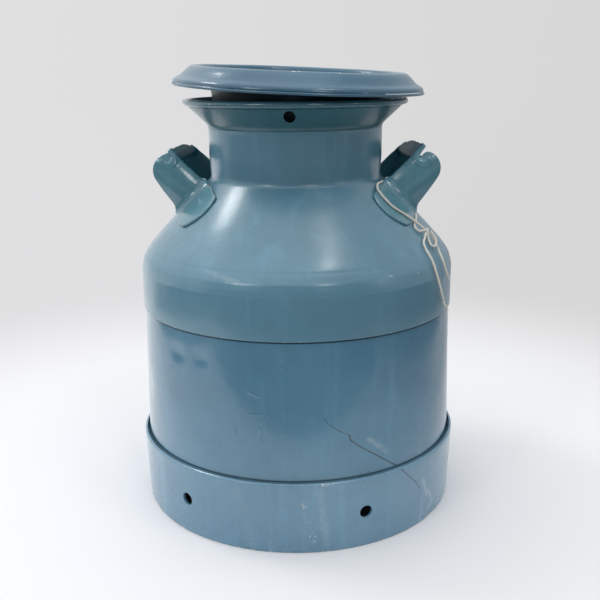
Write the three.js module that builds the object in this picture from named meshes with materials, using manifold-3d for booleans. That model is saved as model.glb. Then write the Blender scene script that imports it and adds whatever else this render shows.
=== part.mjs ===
// Milk can: a painted sheet-steel can of five imperial gallons, with two sheet handles on its
// breast, a loose umbrella lid set askew in its mouth and a cotton string tied round the
// right handle. Millimetres, +Z up, origin on the floor under the can's axis. -Y is the
// front, where the mouth has its seal hole. Azimuths are degrees from -Y, positive towards +X.
import * as THREE from 'three';
import { mergeVertices } from 'three/addons/utils/BufferGeometryUtils.js';
import Module from 'manifold-3d';

const wasm = await Module();
wasm.setup();

// ---- driving dimensions -------------------------------------------------------------
const SIDES = 48; // flats round the can
const GAP = 0.3; // clearance between touching pieces
const SHEET = 1.3; // sheet of the body, breast and mouth

const HOOP = { top: 171.5, foot: 169.0, height: 75, wall: 2.6, flange: 13 };
const VENT = { z: 38, r: 6.5, azimuths: [-41, 22.6, 80, 140, 200, 260] };
const BODY = { rLow: 167.0, rHigh: 162.9, zLow: 52, zHigh: 228 };
const BOTTOM = { zEdge: 52, zRim: 64, zCrown: 69 };
const SKIRT = { r: 164.9, z: 213.4, zTop: 253.1 };
const KNUCKLE = 35.3; // radius where the skirt turns into the breast
const SLOPE = THREE.MathUtils.degToRad(44); // lean of the breast's cone from upright
const NECK = { r: 89.9, zJoin: 337, zTop: 396, fillet: 11 };
const BOWL = { collar: 88.3, zLow: 384, rTop: 110.4, zTop: 417.4 };
const BEAD = { r: 112.4, z: 421.3, wire: 3.3 };
const SEAL = { azimuth: -2.7, z: 410.4, size: 11.5 };

const HANDLE = {
  halfSpan: 51, // outer faces of the legs, at the crown of their curve
  crown: 6, // how far the middle of a leg bulges past its edges
  sheet: 2.2,
  gripWidth: 16,
  gripFloor: 32,
};
// tip: height of the grip's upper edge off the breast. ear: height of a leg's round ear, and
// reach how far down the breast it goes. slit: where the front leg's slit ends, and how deep
// it is. yaw: turn about the handle's own upright axis, which brings its rear leg inwards.
const HANDLES = [
  {
    side: 'left', azimuth: -96, yaw: -1.5, tip: 44.6, ear: 47.8, reach: 33, slit: 2.6, depth: 7.6,
  },
  {
    side: 'right', azimuth: 94.5, yaw: 0, tip: 49, ear: 50.3, reach: 34.5, slit: 5.4, depth: 12.6,
  },
];

const LID = { x: 3.3, z: 433.3, roll: 2.8, nod: 1.35, sheet: 1.5, sealAzimuth: -92 };
const PLUG = { rTop: 90.2, rLow: 84.0, depth: 42 };
const STRING_R = 1.15;

// ---- finishes -----------------------------------------------------------------------
const steel = (color, roughness, metalness = 0.0) =>
  new THREE.MeshStandardMaterial({ color, roughness, metalness });
const ENAMEL = steel(0x5f8496, 0.22);
const ENAMEL_DEEP = steel(0x3f6a78, 0.22);
const SOLDER = steel(0x6b8f9f, 0.35);
const TINNED = steel(0x8b9092, 0.45, 0.8);
const COTTON = steel(0xe6e0d0, 0.9);

// ---- geometry helpers ---------------------------------------------------------------
const rad = THREE.MathUtils.degToRad;
const point = (x, y) => new THREE.Vector2(x, y);

// Points on an arc from angle a0 to a1 in degrees, both ends included.
function arc(cx, cy, r, a0, a1, steps) {
  return Array.from({ length: steps + 1 }, (_, i) => {
    const a = rad(a0 + ((a1 - a0) * i) / steps);
    return point(cx + r * Math.cos(a), cy + r * Math.sin(a));
  });
}

// Revolves a closed (radius, height) outline round Z with its faces pointing out.
function turned(outline, sides = SIDES) {
  const closed = outline[0].x === 0 ? outline : [...outline, outline[0]];
  const loop = THREE.ShapeUtils.area(outline) > 0 ? closed : [...closed].reverse();
  return new THREE.LatheGeometry(loop, sides).rotateX(Math.PI / 2);
}

// The same outline moved square to itself, for the other face of a sheet.
function offset(line, distance) {
  return line.map((p, i) => {
    const before = line[Math.max(i - 1, 0)];
    const after = line[Math.min(i + 1, line.length - 1)];
    const along = after.clone().sub(before).normalize();
    return point(p.x - along.y * distance, p.y + along.x * distance);
  });
}

// A sheet of the given thickness whose outer face is the line.
const sheetOf = (line, thickness) => [...line, ...offset(line, thickness).reverse()];

// Extrudes a shape drawn in (x, height) along Y, between two Y values.
function alongY(points, y0, y1) {
  const geometry = new THREE.ExtrudeGeometry(new THREE.Shape(points), {
    depth: y1 - y0,
    bevelEnabled: false,
  });
  return geometry.rotateX(Math.PI / 2).translate(0, y1, 0);
}

// Extrudes a shape drawn in (y, height) along X, between two X values.
function alongX(points, x0, x1) {
  const geometry = new THREE.ExtrudeGeometry(new THREE.Shape(points), {
    depth: x1 - x0,
    bevelEnabled: false,
  });
  return geometry.rotateX(Math.PI / 2).rotateZ(Math.PI / 2).translate(x0, 0, 0);
}

// Extrudes a shape drawn in (x, y) up Z, between two heights.
function alongZ(points, z0, z1) {
  const geometry = new THREE.ExtrudeGeometry(new THREE.Shape(points), {
    depth: z1 - z0,
    bevelEnabled: false,
  });
  return geometry.translate(0, 0, z0);
}

function solid(geometry) {
  const bare = geometry.clone();
  bare.deleteAttribute('normal');
  bare.deleteAttribute('uv');
  const merged = mergeVertices(bare, 1e-4);
  return new wasm.Manifold(new wasm.Mesh({
    numProp: 3,
    vertProperties: new Float32Array(merged.attributes.position.array),
    triVerts: new Uint32Array(merged.index.array),
  }));
}

function geometryOf(manifold) {
  const mesh = manifold.getMesh();
  const geometry = new THREE.BufferGeometry();
  geometry.setAttribute('position', new THREE.BufferAttribute(mesh.vertProperties, 3));
  geometry.setIndex(new THREE.BufferAttribute(mesh.triVerts, 1));
  geometry.computeVertexNormals();
  return geometry;
}

// A cutter through the wall at an azimuth, as a rod along the radius.
function radialRod(azimuth, z, r, length, from) {
  return new THREE.CylinderGeometry(r, r, length, 12)
    .translate(0, -(from + length / 2), 0)
    .rotateZ(rad(azimuth))
    .translate(0, 0, z);
}

// ---- the can's outside, which several pieces share -----------------------------------
const knuckleCentre = point(SKIRT.r - KNUCKLE, SKIRT.zTop);
const knuckleEnd = point(
  knuckleCentre.x + KNUCKLE * Math.cos(SLOPE),
  knuckleCentre.y + KNUCKLE * Math.sin(SLOPE),
);
const coneRadius = (z) => knuckleEnd.x - (z - knuckleEnd.y) * Math.tan(SLOPE);
const coneMeetsNeck = knuckleEnd.y + (knuckleEnd.x - NECK.r) / Math.tan(SLOPE);
const filletCentre = point(
  NECK.r + NECK.fillet,
  coneMeetsNeck + NECK.fillet * Math.tan(SLOPE / 2),
);

const onCone = (z) => point(coneRadius(z), z);

// ---- the can ------------------------------------------------------------------------
function baseHoop() {
  const { top, foot, height, wall, flange } = HOOP;
  const ring = solid(turned([
    point(foot - flange, 0),
    point(foot - 2.5, 0),
    point(foot - 0.7, 0.8),
    point(foot, 3),
    point(top, height - 2),
    point(top - 0.8, height - 0.4),
    point(top - wall, height),
    point(foot - wall, wall + 2.5),
    point(foot - wall - 2.5, wall),
    point(foot - flange, wall),
  ]));
  return geometryOf(VENT.azimuths.reduce(
    (left, azimuth) => left.subtract(solid(radialRod(azimuth, VENT.z, VENT.r, 30, 152))),
    ring,
  ));
}

function bodyShell() {
  const outside = [point(BODY.rLow, BODY.zLow), point(BODY.rHigh, BODY.zHigh)];
  return turned(sheetOf(outside, SHEET));
}

// The dished bottom, soldered inside the body by its turned-down flange.
function bottomHead() {
  const edge = BODY.rLow - SHEET - GAP - 0.5;
  const top = [
    point(0, BOTTOM.zCrown),
    point(edge * 0.5, BOTTOM.zCrown - 1.2),
    point(edge - 6, BOTTOM.zRim),
    point(edge - 1.5, BOTTOM.zRim - 2.5),
    point(edge, BOTTOM.zRim - 6),
    point(edge, BOTTOM.zEdge),
  ];
  const under = offset(top, -SHEET).reverse();
  under[under.length - 1] = point(0, BOTTOM.zCrown - SHEET);
  return turned([...top, ...under]);
}

// Solder run in between the hoop's upper edge and the body.
function hoopSolder() {
  const inner = BODY.rLow + GAP;
  const outer = HOOP.top - HOOP.wall - GAP - 0.5;
  return turned([
    point(inner, 58),
    point(outer - 0.3, 58),
    point(outer, HOOP.height - 1.6),
    point(inner, HOOP.height + 0.8),
  ]);
}

function breast() {
  const outside = [
    point(SKIRT.r, SKIRT.z),
    ...arc(knuckleCentre.x, knuckleCentre.y, KNUCKLE, 0, 44, 5),
    onCone(NECK.zJoin - GAP / 3),
  ];
  return turned(sheetOf(outside, SHEET));
}

function neck() {
  const filletAngle = THREE.MathUtils.radToDeg(SLOPE);
  const outside = [
    onCone(NECK.zJoin + GAP / 2.5),
    ...arc(filletCentre.x, filletCentre.y, NECK.fillet, 180 + filletAngle, 180, 3),
    point(NECK.r, NECK.zTop),
  ];
  return turned(sheetOf(outside, SHEET));
}

// Flared mouth, its collar slipped into the neck, with one hole for the dairy's seal.
function mouthBowl() {
  const { collar, zLow, rTop, zTop } = BOWL;
  const rim = NECK.zTop + GAP + 0.4;
  const line = [
    point(collar, zLow),
    point(collar, rim),
    point(NECK.r + 0.6, rim + 1.4),
    point(NECK.r + 3.6, rim + 4.8),
    point(rTop, zTop),
  ];
  const r = SEAL.size / 2;
  const c = r * 0.55;
  const softSquare = [
    point(-r, -c), point(-c, -r), point(c, -r), point(r, -c),
    point(r, c), point(c, r), point(-c, r), point(-r, c),
  ];
  const cutter = alongY(softSquare, -125, -80).rotateZ(rad(SEAL.azimuth));
  const hole = solid(cutter.translate(0, 0, SEAL.z));
  return geometryOf(solid(turned(sheetOf(line, SHEET))).subtract(hole));
}

const mouthBead = () => turned(arc(BEAD.r, BEAD.z, BEAD.wire, 0, 324, 9));

// ---- handles ------------------------------------------------------------------------
// A handle is drawn in its own frame: x down the breast from the leg's inner edge, y along
// the grip, z away from the breast. The frame stands on the breast's cone.
const HANDLE_Z = coneMeetsNeck - 0.75;
function handleFrame(azimuth, yaw, front) {
  const out = new THREE.Vector3(Math.sin(rad(azimuth)), -Math.cos(rad(azimuth)), 0);
  const up = new THREE.Vector3(0, 0, 1);
  const lean = Math.cos(SLOPE);
  const drop = Math.sin(SLOPE);
  const away = out.clone().multiplyScalar(lean).addScaledVector(up, drop);
  const down = out.clone().multiplyScalar(drop).addScaledVector(up, -lean);
  const along = new THREE.Vector3().crossVectors(away, down);
  return new THREE.Matrix4()
    .makeBasis(down, along, away)
    .setPosition(out.multiplyScalar(coneRadius(HANDLE_Z)).setZ(HANDLE_Z))
    .multiply(new THREE.Matrix4().makeTranslation(0, front, 0))
    .multiply(new THREE.Matrix4().makeRotationZ(rad(yaw)))
    .multiply(new THREE.Matrix4().makeTranslation(0, -front, 0));
}

// Outer edge that both legs share: a round ear, then a straight run down to the breast.
const earEdge = (ear, reach) => [
  ...arc(reach - 18, ear - 18, 18, 112, 12, 6),
  point(reach + 2.5, 22),
  point(reach + 5.3, 8),
  point(46, -16),
];

// Side of the front leg: straight inner edge up to a horn, a slit, then the ear.
function frontOutline({ tip, ear, reach, slit, depth }) {
  return [
    point(0, -16),
    point(0, tip),
    point(1.2, tip),
    point(slit, tip - depth),
    point(slit + 0.9, tip - depth),
    point(slit + 1.0, ear - 6),
    point(slit + 2.2, ear - 3),
    ...earEdge(ear, reach),
  ];
}

// Side of the rear leg: its inner edge curves over into the ear, with no slit.
function rearOutline({ tip, ear, reach }) {
  return [
    point(0, -16),
    point(0, tip - 24),
    point(1, tip - 15),
    point(2.4, tip - 8),
    point(4.2, tip - 3.6),
    ...earEdge(ear, reach),
  ];
}

// Plan of a leg: a sheet bowed outwards across its width.
function legPlan() {
  const { halfSpan, crown, sheet } = HANDLE;
  const half = 21;
  const r = (half * half + crown * crown) / (2 * crown);
  const outer = arc(half, halfSpan - r, r, 130, 50, 10);
  const inner = arc(half, halfSpan - r, r - sheet, 50, 130, 10);
  return { wall: [...outer, ...inner], field: outer };
}

// Section of the grip: a sheet channel with a high inner wall and a rolled outer one.
function gripSection(tip) {
  const { gripWidth, gripFloor, sheet } = HANDLE;
  const r = gripWidth / 2;
  return [
    point(0, tip),
    ...arc(r, gripFloor + r, r, 180, 360, 8),
    point(gripWidth, gripFloor + r + 3),
    point(gripWidth - sheet, gripFloor + r + 3),
    ...arc(r, gripFloor + r, r - sheet, 360, 180, 8),
    point(sheet, tip),
  ];
}

// Edge of the grip's inner wall seen from the neck, front at -x: it runs level from the horn
// and falls away in a long curve to the rear leg.
function wallEdge(tip) {
  const fall = Array.from({ length: 7 }, (_, i) => {
    const a = rad(90 - 11 * i);
    return point(4 + 43 * Math.cos(a), tip - 30 + 31 * Math.sin(a));
  });
  return [
    point(-65, -5),
    point(-65, tip - 4),
    point(-48.5, tip - 1),
    point(-44, tip),
    point(-20, tip + 0.9),
    ...fall,
    point(65, tip - 17),
    point(65, -5),
  ];
}

function footOutline() {
  return [
    point(0, -42.5),
    point(-5, -56),
    point(-6, -76),
    ...arc(20, -50, 37, 225, 298, 7),
    point(41.5, -74),
    point(44, -60),
    point(43.5, -42.5),
  ];
}

const mirrored = (points) => points.map((p) => point(p.x, -p.y)).reverse();

function handle({ side, azimuth, yaw, ...leg }) {
  // The front leg is at -y in the right handle's own frame and at +y in the left one's.
  const front = side === 'right' ? -48 : 48;
  const flip = (points) => (side === 'right' ? points
    : points.map((p) => point(-p.x, p.y)).reverse());
  const frame = handleFrame(azimuth, yaw, front);
  const placed = (geometry) => solid(geometry.applyMatrix4(frame));
  const { wall, field } = legPlan();
  const legs = [wall, mirrored(wall)].map((plan) => {
    const atFront = (plan === wall) === (side === 'left');
    const outline = (atFront ? frontOutline : rearOutline)(leg);
    return placed(alongZ(plan, -30, 60)).intersect(placed(alongY(outline, -62, 62)));
  });
  const between = placed(alongZ([...field, ...mirrored(field)], 0, 60));
  const inside = placed(alongX(flip(wallEdge(leg.tip)), -5, 8));
  const block = [point(-55, 20), point(-55, 70), point(55, 70), point(55, 20)];
  const spare = placed(alongX(block, -4, HANDLE.sheet + 0.6)).subtract(inside);
  const grip = placed(alongY(gripSection(leg.tip + 1), -55, 55)).intersect(between);

  // The feet are sheet laid on the breast, so they are cut from a shell round its cone.
  const lift = GAP * 1.4;
  const thick = HANDLE.sheet / Math.cos(SLOPE);
  const shell = solid(turned([
    point(coneRadius(285) + lift, 285),
    point(coneRadius(285) + lift + thick, 285),
    point(coneRadius(347) + lift + thick, 347),
    point(coneRadius(347) + lift, 347),
  ]));
  const feet = [footOutline(), mirrored(footOutline())].map((plan) =>
    placed(alongZ(plan, -50, 30)).intersect(shell));

  const breastSolid = solid(turned([
    point(0, 250),
    point(coneRadius(280) + lift, 250),
    point(coneRadius(280) + lift, 280),
    point(coneRadius(347) + lift, 347),
    point(NECK.r + lift, coneMeetsNeck + 6),
    point(NECK.r + lift, 390),
    point(0, 390),
  ]));
  const joined = [...legs, grip.subtract(spare), ...feet].reduce((all, next) => all.add(next));
  return geometryOf(joined.subtract(breastSolid));
}

// ---- lid ----------------------------------------------------------------------------
// Heights are from the plane of the lid's lip.
function lidCover() {
  const top = [
    point(0, 4.6),
    point(84, 5),
    point(95, 6.6),
    point(99, 9.5),
    point(102, 16.6),
    point(104, 19.4),
    point(107.6, 20.1),
    point(111.6, 18.6),
    point(119.8, 10.4),
    point(123.6, 8.5),
    point(126.4, 6.2),
    point(127.8, 2.9),
  ];
  const under = offset(top, -LID.sheet).reverse();
  under[under.length - 1] = point(0, 4.6 - LID.sheet);
  const slot = solid(radialRod(LID.sealAzimuth, 0, 4.6, 60, 90)
    .translate(0, 0, 12.6));
  return geometryOf(solid(turned([...top, ...under])).subtract(slot));
}

const lidHem = () => turned(arc(127.5, 1.2, 1.3, 0, 315, 7));

// The plug is an open cup under the cover, tapered so that it wedges in the mouth.
function lidPlug() {
  const { rTop, rLow, depth } = PLUG;
  const wall = [
    point(0, -depth),
    point(rLow - 7, -depth),
    point(rLow - 2, -depth + 2),
    point(rLow, -depth + 7),
    point(rTop, 2.6),
  ];
  const inside = offset(wall, LID.sheet).reverse();
  inside[inside.length - 1] = point(0, -depth + LID.sheet);
  inside[0] = point(rTop - LID.sheet, 2.6);
  return turned([...wall, ...inside]);
}

// ---- string -------------------------------------------------------------------------
// Each route is the line of one length of string, from the knot outwards.
const KNOT = { x: 130.3, y: -60.0, z: 295.6, r: 3.6 };
const END_KNOT = { x: 146.4, y: -81.6, z: 227.6, r: 2.2 };
const ROUTES = {
  string_loop: [
    [127.4, -60.7, 298.2], [124.1, -61.4, 301.0], [120.2, -62.3, 304.2],
    [114.7, -63.4, 308.4], [109.5, -64.6, 312.1], [102.6, -67.6, 316.6],
    [96.2, -69.7, 321.0], [91.1, -69.0, 325.7], [86.4, -67.3, 330.6],
    [82.7, -65.3, 335.1], [80.6, -61.4, 338.7], [81.4, -54.3, 340.9],
    [82.6, -47.7, 341.7], [85.8, -41.4, 341.7], [87.7, -36.2, 342.2],
    [91.2, -32.5, 340.1], [95.4, -31.6, 336.3], [99.7, -31.3, 332.2],
    [104.0, -31.3, 328.0], [108.2, -31.2, 323.7], [112.6, -30.7, 319.6],
    [116.9, -29.9, 315.5], [120.7, -30.0, 311.6], [122.6, -33.5, 308.8],
    [122.6, -38.5, 307.3], [121.8, -44.6, 306.2], [120.8, -50.7, 304.9],
    [119.3, -56.8, 303.6], [118.0, -61.9, 302.5], [118.1, -65.7, 300.6],
    [120.0, -67.2, 298.1], [122.7, -66.4, 296.4], [127.8, -63.2, 296.3],
  ],
  string_tail_long: [
    [129.6, -63.4, 293.4], [128.0, -68.2, 291.3], [126.6, -73.5, 289.5],
    [125.2, -79.2, 287.4], [126.2, -85.2, 283.0], [128.8, -89.4, 278.2],
    [131.4, -92.2, 273.4], [133.6, -94.0, 268.0], [135.4, -94.8, 262.2],
    [137.4, -94.2, 256.0], [139.4, -92.4, 250.0], [141.2, -90.0, 244.4],
    [143.0, -87.2, 238.6], [144.8, -84.2, 233.2], [145.9, -82.4, 230.4],
  ],
  string_tail_short: [
    [132.5, -58.7, 292.4], [135.1, -58.2, 290.8], [137.2, -59.6, 288.0],
    [138.8, -62.1, 284.9], [139.9, -65.0, 282.1], [141.1, -67.9, 279.4],
    [142.3, -70.3, 276.3], [143.6, -72.4, 273.2], [144.8, -73.8, 269.8],
    [146.1, -74.6, 266.6], [147.3, -74.8, 263.2], [148.3, -74.6, 260.0],
    [149.2, -74.1, 256.8], [150.3, -73.3, 254.0], [151.3, -72.3, 251.4],
  ],
  string_bow: [
    [131.6, -61.8, 291.8], [131.7, -63.9, 289.9], [131.9, -66.5, 288.2],
    [132.2, -69.0, 286.7], [132.7, -71.4, 285.0], [133.8, -73.3, 283.4],
    [135.7, -73.8, 282.4], [137.7, -72.2, 282.5], [138.9, -69.5, 283.8],
    [139.4, -66.9, 285.7], [139.2, -64.5, 287.9], [138.3, -62.5, 290.0],
    [137.1, -61.4, 291.9], [135.4, -61.0, 293.5], [134.8, -61.2, 295.4],
  ],
};

function stringTube(route, diameters = 2.6) {
  const path = new THREE.CatmullRomCurve3(route.map((p) => new THREE.Vector3(...p)));
  const section = new THREE.Shape(arc(0, 0, STRING_R, 0, 315, 7));
  const steps = Math.round(path.getLength() / (2 * STRING_R * diameters));
  return new THREE.ExtrudeGeometry(section, { steps, extrudePath: path });
}

const knot = ({ x, y, z, r }) => new THREE.SphereGeometry(r, 10, 7).translate(x, y, z);

// ---- the assembly -------------------------------------------------------------------
function piece(name, geometry, material) {
  const mesh = new THREE.Mesh(geometry, material);
  mesh.name = name;
  return mesh;
}

const can = new THREE.Group();
can.add(piece('base_hoop', baseHoop(), ENAMEL.clone()));
can.add(piece('body_shell', bodyShell(), ENAMEL.clone()));
can.add(piece('bottom_head', bottomHead(), TINNED.clone()));
can.add(piece('hoop_solder', hoopSolder(), SOLDER.clone()));
can.add(piece('breast', breast(), ENAMEL.clone()));
can.add(piece('neck', neck(), ENAMEL.clone()));
can.add(piece('mouth_bowl', mouthBowl(), ENAMEL_DEEP.clone()));
can.add(piece('mouth_bead', mouthBead(), ENAMEL.clone()));
for (const which of HANDLES) {
  can.add(piece(`handle_${which.side}`, handle(which), ENAMEL.clone()));
}
can.add(piece('string_knot', knot(KNOT), COTTON.clone()));
can.add(piece('string_end_knot', knot(END_KNOT), COTTON.clone()));
for (const [name, route] of Object.entries(ROUTES)) {
  can.add(piece(name, stringTube(route), COTTON.clone()));
}

const lid = new THREE.Group();
lid.add(piece('lid_cover', lidCover(), ENAMEL.clone()));
lid.add(piece('lid_hem', lidHem(), ENAMEL.clone()));
lid.add(piece('lid_plug', lidPlug(), ENAMEL_DEEP.clone()));
lid.position.set(LID.x, 0, LID.z);
lid.rotation.set(rad(LID.nod), rad(LID.roll), 0);

const dairyCan = new THREE.Group();
dairyCan.add(can, lid);

export default dairyCan;
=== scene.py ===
"""Milk can of five imperial gallons: the visual model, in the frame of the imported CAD.

Lengths are written in millimetres and turned into metres as meshes are made. -Y is the
front, azimuths are degrees from -Y towards +X.
"""
import math
from math import cos, pi, radians, sin

import bpy
import numpy as np
from mathutils import Matrix, Vector


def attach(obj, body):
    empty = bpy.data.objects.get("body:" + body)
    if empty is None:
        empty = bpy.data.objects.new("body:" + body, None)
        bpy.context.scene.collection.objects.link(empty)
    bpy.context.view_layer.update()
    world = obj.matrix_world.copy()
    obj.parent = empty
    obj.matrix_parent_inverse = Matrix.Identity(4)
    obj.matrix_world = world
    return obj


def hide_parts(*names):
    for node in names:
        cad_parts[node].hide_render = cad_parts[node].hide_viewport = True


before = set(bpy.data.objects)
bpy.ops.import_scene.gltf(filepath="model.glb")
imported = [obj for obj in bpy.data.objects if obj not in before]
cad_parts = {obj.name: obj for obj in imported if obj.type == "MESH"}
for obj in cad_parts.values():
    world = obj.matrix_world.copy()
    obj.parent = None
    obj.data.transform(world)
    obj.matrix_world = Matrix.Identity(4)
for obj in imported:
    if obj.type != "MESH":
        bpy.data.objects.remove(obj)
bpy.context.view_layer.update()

scene = bpy.context.scene
scene.view_settings.view_transform = "Standard"
scene.view_settings.look = "None"
MM = 0.001
LID_AT = (
    Matrix.Translation((0.0033, 0, 0.4333))
    @ Matrix.Rotation(radians(1.35), 4, "X")
    @ Matrix.Rotation(radians(2.8), 4, "Y")
)


# ---- camera --------------------------------------------------------------------------
def make_camera():
    pitch, roll = 0.2681, -0.0098
    right = Vector((1, 0, 0))
    up = Vector((0, sin(pitch), cos(pitch)))
    ahead = Vector((0, cos(pitch), -sin(pitch)))
    side = cos(roll) * right + sin(roll) * up
    top = -sin(roll) * right + cos(roll) * up
    data = bpy.data.cameras.new("camera")
    data.lens = 50.14
    data.sensor_width = 36
    data.clip_end = 60
    camera = bpy.data.objects.new("camera", data)
    camera.matrix_world = Matrix.Translation((0.0032, -0.8846, 0.4514)) @ Matrix(
        (side, top, -ahead)
    ).transposed().to_4x4()
    scene.collection.objects.link(camera)
    scene.camera = camera


make_camera()


# ---- mesh helpers --------------------------------------------------------------------
def place(name, vertices, faces, smooth=32, matrix=None):
    """An object from points in millimetres, shaded smooth up to an angle in degrees."""
    mesh = bpy.data.meshes.new(name)
    points = (np.asarray(vertices, dtype=float) * MM).tolist()
    mesh.from_pydata(points, [], [list(f) for f in faces])
    if matrix is not None:
        mesh.transform(matrix)
    mesh.update()
    mesh.shade_smooth()
    mesh.set_sharp_from_angle(angle=radians(smooth))
    made = bpy.data.objects.new(name, mesh)
    scene.collection.objects.link(made)
    return made


def dress(piece, body, nodes, slot, *materials):
    """Puts a piece on its body in place of its CAD nodes, in its own finish."""
    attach(piece, body)
    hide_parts(*nodes)
    for material in materials:
        piece.data.materials.append(material)
    return piece


def arc(cx, cy, r, a0, a1, steps):
    angles = np.radians(np.linspace(a0, a1, steps + 1))
    return [(cx + r * cos(a), cy + r * sin(a)) for a in angles]


def rounded(points, radius, steps=4):
    """The closed outline with its corners rounded; radius is one number or one a corner."""
    count = len(points)
    radii = radius if hasattr(radius, "__len__") else [radius] * count
    made = []
    for i, p in enumerate(points):
        p = np.array(p, dtype=float)
        a, b = np.array(points[i - 1], float) - p, np.array(points[(i + 1) % count], float) - p
        la, lb = np.linalg.norm(a), np.linalg.norm(b)
        if radii[i] <= 0 or la < 1e-9 or lb < 1e-9:
            made.append(tuple(p))
            continue
        a, b = a / la, b / lb
        half = math.acos(max(-1, min(1, float(a @ b)))) / 2
        if half > radians(86):
            made.append(tuple(p))
            continue
        reach = min(radii[i] / math.tan(half), 0.48 * la, 0.48 * lb)
        for t in np.linspace(0, 1, steps + 1):
            q = (1 - t) ** 2 * (p + a * reach) + 2 * t * (1 - t) * p + t**2 * (p + b * reach)
            made.append(tuple(q))
    return made


def offset(line, distance):
    """The line moved square to itself, to its left."""
    line = np.array(line, dtype=float)
    ahead = np.vstack([line[1:], line[-1:]]) - np.vstack([line[:1], line[:-1]])
    ahead /= np.linalg.norm(ahead, axis=1, keepdims=True)
    return [tuple(p) for p in line + np.stack([-ahead[:, 1], ahead[:, 0]], 1) * distance]


def densify(line, step):
    """The same line with a point at least every step."""
    made = [line[0]]
    for a, b in zip(line[:-1], line[1:]):
        count = max(1, int(math.ceil(math.dist(a, b) / step)))
        made += [
            (a[0] + (b[0] - a[0]) * k / count, a[1] + (b[1] - a[1]) * k / count)
            for k in range(1, count + 1)
        ]
    return made


def sheet_of(line, thickness, lip=0.45):
    """Section of a sheet whose outer face is the line, with softened cut edges."""
    back = offset(line, thickness)[::-1]
    outline = list(line) + back
    radii = [0.0] * len(outline)
    for i in (0, len(line) - 1, len(line), len(outline) - 1):
        radii[i] = lip * thickness
    return rounded(outline, radii, 3)


def turned(outline, sides=256):
    """Points and faces of a (radius, height) outline turned round Z."""
    outline = [(float(r), float(z)) for r, z in outline]
    area = sum(
        a[0] * b[1] - b[0] * a[1] for a, b in zip(outline, outline[1:] + outline[:1])
    )
    if area < 0:
        outline = outline[::-1]
    points, rows = [], []
    angles = 2 * pi * np.arange(sides) / sides
    for r, z in outline:
        if abs(r) < 1e-6:
            rows.append([len(points)] * sides)
            points.append((0.0, 0.0, z))
        else:
            rows.append(list(range(len(points), len(points) + sides)))
            points += [(r * cos(a), r * sin(a), z) for a in angles]
    faces = []
    for lower, upper in zip(rows, rows[1:] + rows[:1]):
        for k in range(sides):
            j = (k + 1) % sides
            ring = [lower[k], lower[j], upper[j], upper[k]]
            face = [v for i, v in enumerate(ring) if v != ring[i - 1]]
            if len(set(face)) > 2:
                faces.append(face)
    return np.array(points), faces


def ripple(points, wavelength, seed, count=14):
    """A smooth random field from -1 to 1, about one swell to a wavelength."""
    rng = np.random.default_rng(seed)
    total = np.zeros(len(points))
    for _ in range(count):
        way = rng.normal(size=3)
        way *= 2 * pi / (np.linalg.norm(way) * wavelength * rng.uniform(0.7, 1.5))
        total += np.sin(points @ way + rng.uniform(0, 2 * pi))
    return total / math.sqrt(count) / 1.6


def pressed(points, azimuth, z, depth, wide, high, lean=0.0):
    """The points with a shallow dent pressed in towards the axis."""
    r = np.hypot(points[:, 0], points[:, 1])
    across = (np.degrees(np.arctan2(points[:, 0], -points[:, 1])) - azimuth + 180) % 360 - 180
    x = np.radians(across) * r
    y = points[:, 2] - z
    c, s = cos(radians(lean)), sin(radians(lean))
    fall = np.exp(-(((x * c + y * s) / wide) ** 2) - ((y * c - x * s) / high) ** 2)
    shrink = 1 - depth * fall / np.maximum(r, 1)
    moved = points.copy()
    moved[:, 0] *= shrink
    moved[:, 1] *= shrink
    return moved


def swelled(points, amount):
    """The points moved in towards the axis by amount, never outwards."""
    r = np.maximum(np.hypot(points[:, 0], points[:, 1]), 1)
    moved = points.copy()
    moved[:, 0] *= 1 - amount / r
    moved[:, 1] *= 1 - amount / r
    return moved


def rod(name, azimuth, z, radius, r0, r1, sides=40, matrix=None):
    """A cutter along the radius at an azimuth."""
    a = radians(azimuth)
    out = np.array([sin(a), -cos(a), 0.0])
    side = np.array([cos(a), sin(a), 0.0])
    ring = 2 * pi * np.arange(sides) / sides
    points = [
        out * r + side * radius * cos(t) + np.array([0, 0, z + radius * sin(t)])
        for r in (r0, r1)
        for t in ring
    ]
    faces = [(k, (k + 1) % sides, sides + (k + 1) % sides, sides + k) for k in range(sides)]
    faces += [tuple(range(sides))[::-1], tuple(range(sides, 2 * sides))]
    cutter = place(name, points, faces, matrix=matrix)
    repair(cutter)
    return cutter


def repair(piece):
    """Turns every face outwards."""
    import bmesh

    work = bmesh.new()
    work.from_mesh(piece.data)
    bmesh.ops.recalc_face_normals(work, faces=work.faces)
    work.to_mesh(piece.data)
    work.free()


def cut(piece, cutters, smooth=32):
    """Subtracts the cutters from the piece and removes them."""
    for cutter in cutters:
        change = piece.modifiers.new("cut", "BOOLEAN")
        change.operation = "DIFFERENCE"
        change.solver = "EXACT"
        change.object = cutter
    bpy.context.view_layer.update()
    result = bpy.data.meshes.new_from_object(
        piece.evaluated_get(bpy.context.evaluated_depsgraph_get())
    )
    piece.modifiers.clear()
    old = piece.data
    piece.data = result
    result.name = old.name + "_cut"
    bpy.data.meshes.remove(old)
    for cutter in cutters:
        bpy.data.objects.remove(cutter)
    result.shade_smooth()
    result.set_sharp_from_angle(angle=radians(smooth))


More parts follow.
